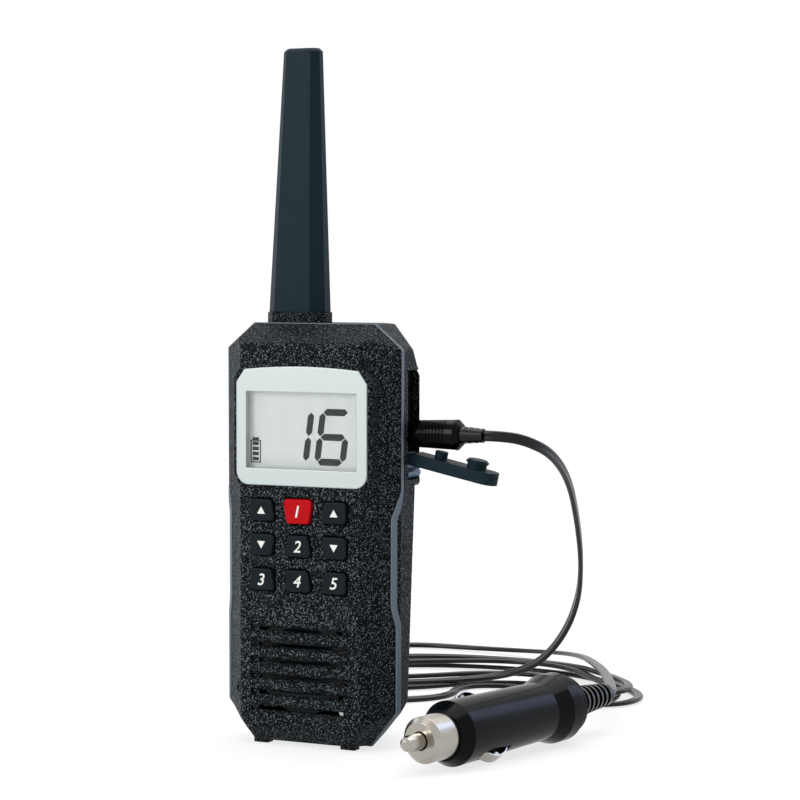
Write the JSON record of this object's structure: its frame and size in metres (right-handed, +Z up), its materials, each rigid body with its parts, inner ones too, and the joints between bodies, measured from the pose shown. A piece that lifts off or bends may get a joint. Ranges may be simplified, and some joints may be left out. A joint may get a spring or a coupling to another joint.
{
  "type": "handheld marine radio",
  "caption": "Handheld VHF marine radio with tapered antenna, display, keypad, slotted speaker, belt clip and its 12 volt charging lead.",
  "frame": {"origin": "centre of the flat pad that the radio stands on", "axes": "+Z up along the antenna, -Y out of the display, +X out of the jacks"},
  "size_m": [0.1761, 0.2514, 0.2214],
  "materials": {
    "housing": "coarse moulded grain",
    "gasket": "smooth",
    "bezel": "satin silver",
    "window": "clear",
    "lcd": "pale display",
    "white_plastic": "plain",
    "key_rubber": "satin",
    "red_key": "satin",
    "steel": "plain",
    "black_steel": "black paint",
    "board": "circuit board",
    "speaker_cone": "film",
    "inner_plastic": "plain",
    "rubber": "matt",
    "anchor_rubber": "satin blue-grey",
    "brass": "plain",
    "clip_plastic": "fine grain",
    "plug_plastic": "glossy black",
    "cord": "smooth black",
    "nickel": "nickel plate",
    "fuse_glass": "clear"
  },
  "bodies": {
    "radio": {"front_housing": "housing", "rear_housing": "housing", "body_gasket": "gasket", "display_bezel": "bezel", "display_lens": "window", "lcd_panel": "lcd", "backlight_frame": "white_plastic", "keypad_mat": "key_rubber", "key_domes": "steel", "main_board": "board", "shield_cans": "steel", "speaker_frame": "black_steel", "speaker_cone": "speaker_cone", "speaker_magnet": "black_steel", "microphone": "steel", "side_switches": "inner_plastic", "battery_pack": "inner_plastic", "battery_seal": "rubber", "battery_door": "housing", "door_screws": "steel", "battery_contacts": "brass", "housing_screws": "steel", "jack_panel": "inner_plastic", "dc_jack": "inner_plastic", "accessory_jack": "inner_plastic", "flap_anchor": "anchor_rubber", "antenna_sheath": "rubber", "antenna_core": "brass", "antenna_collar": "housing", "antenna_nut": "brass", "clip_pin": "steel", "clip_spring": "steel"},
    "upper_left_key": {"key_up_left": "key_rubber"},
    "red_key": {"key_red": "red_key"},
    "upper_right_key": {"key_up_right": "key_rubber"},
    "down_left_key": {"key_down_left": "key_rubber"},
    "middle_key": {"key_middle": "key_rubber"},
    "down_right_key": {"key_down_right": "key_rubber"},
    "lower_left_key": {"key_lower_left": "key_rubber"},
    "lower_middle_key": {"key_lower_middle": "key_rubber"},
    "lower_right_key": {"key_lower_right": "key_rubber"},
    "talk_bar": {"ptt_button": "key_rubber"},
    "power_key": {"power_button": "key_rubber"},
    "flap": {"jack_flap": "rubber"},
    "clip": {"belt_clip": "clip_plastic"},
    "lead": {"dc_plug_body": "plug_plastic", "dc_plug_barrel": "nickel", "dc_strain_relief": "cord", "lead_free": "cord", "lead_hank": "cord", "lead_tail": "cord", "car_plug_nose": "nickel", "car_plug_shell": "plug_plastic", "tip_spring": "steel", "car_plug_fuse": "fuse_glass", "car_plug_disc": "plug_plastic", "car_strain_relief": "cord"},
    "plug_tip": {"car_plug_tip": "nickel"},
    "upper_contact": {"contact_upper": "nickel"},
    "lower_contact": {"contact_lower": "nickel"}
  },
  "joints": [
    {"name": "upper_left_press", "type": "slide", "parent": "radio", "child": "upper_left_key", "axis": [0, 1, 0], "range_m": [0, 0.0006], "stiffness_N_per_m": 1500},
    {"name": "red_press", "type": "slide", "parent": "radio", "child": "red_key", "axis": [0, 1, 0], "range_m": [0, 0.0006], "stiffness_N_per_m": 1500},
    {"name": "upper_right_press", "type": "slide", "parent": "radio", "child": "upper_right_key", "axis": [0, 1, 0], "range_m": [0, 0.0006], "stiffness_N_per_m": 1500},
    {"name": "down_left_press", "type": "slide", "parent": "radio", "child": "down_left_key", "axis": [0, 1, 0], "range_m": [0, 0.0006], "stiffness_N_per_m": 1500},
    {"name": "middle_press", "type": "slide", "parent": "radio", "child": "middle_key", "axis": [0, 1, 0], "range_m": [0, 0.0006], "stiffness_N_per_m": 1500},
    {"name": "down_right_press", "type": "slide", "parent": "radio", "child": "down_right_key", "axis": [0, 1, 0], "range_m": [0, 0.0006], "stiffness_N_per_m": 1500},
    {"name": "lower_left_press", "type": "slide", "parent": "radio", "child": "lower_left_key", "axis": [0, 1, 0], "range_m": [0, 0.0006], "stiffness_N_per_m": 1500},
    {"name": "lower_middle_press", "type": "slide", "parent": "radio", "child": "lower_middle_key", "axis": [0, 1, 0], "range_m": [0, 0.0006], "stiffness_N_per_m": 1500},
    {"name": "lower_right_press", "type": "slide", "parent": "radio", "child": "lower_right_key", "axis": [0, 1, 0], "range_m": [0, 0.0006], "stiffness_N_per_m": 1500},
    {"name": "talk_press", "type": "slide", "parent": "radio", "child": "talk_bar", "axis": [1, 0, 0], "range_m": [0, 0.0006], "stiffness_N_per_m": 2500},
    {"name": "power_press", "type": "slide", "parent": "radio", "child": "power_key", "axis": [1, 0, 0], "range_m": [0, 0.0006], "stiffness_N_per_m": 2000},
    {"name": "flap_bend", "type": "hinge", "parent": "radio", "child": "flap", "pos_m": [0.032, -0.0015, 0.0917], "axis": [0, 1, 0], "range_deg": [0, 50], "stiffness_Nm_per_rad": 0.02},
    {"name": "clip_open", "type": "hinge", "parent": "radio", "child": "clip", "pos_m": [0, 0.02315, 0.106], "axis": [1, 0, 0], "range_deg": [0, 12], "stiffness_Nm_per_rad": 2},
    {"name": "plug_pull", "type": "slide", "parent": "radio", "child": "lead", "axis": [1, 0, 0], "range_m": [0, 0.012]},
    {"name": "tip_press", "type": "slide", "parent": "lead", "child": "plug_tip", "axis": [0.1976, 0.9801, 0.0173], "range_m": [0, 0.0025], "stiffness_N_per_m": 2000},
    {"name": "upper_contact_press", "type": "slide", "parent": "lead", "child": "upper_contact", "axis": [0.6062, -0.1083, -0.7879], "range_m": [0, 0.0012], "stiffness_N_per_m": 2500},
    {"name": "lower_contact_press", "type": "slide", "parent": "lead", "child": "lower_contact", "axis": [-0.6062, 0.1083, 0.7879], "range_m": [0, 0.0012], "stiffness_N_per_m": 2500}
  ]
}
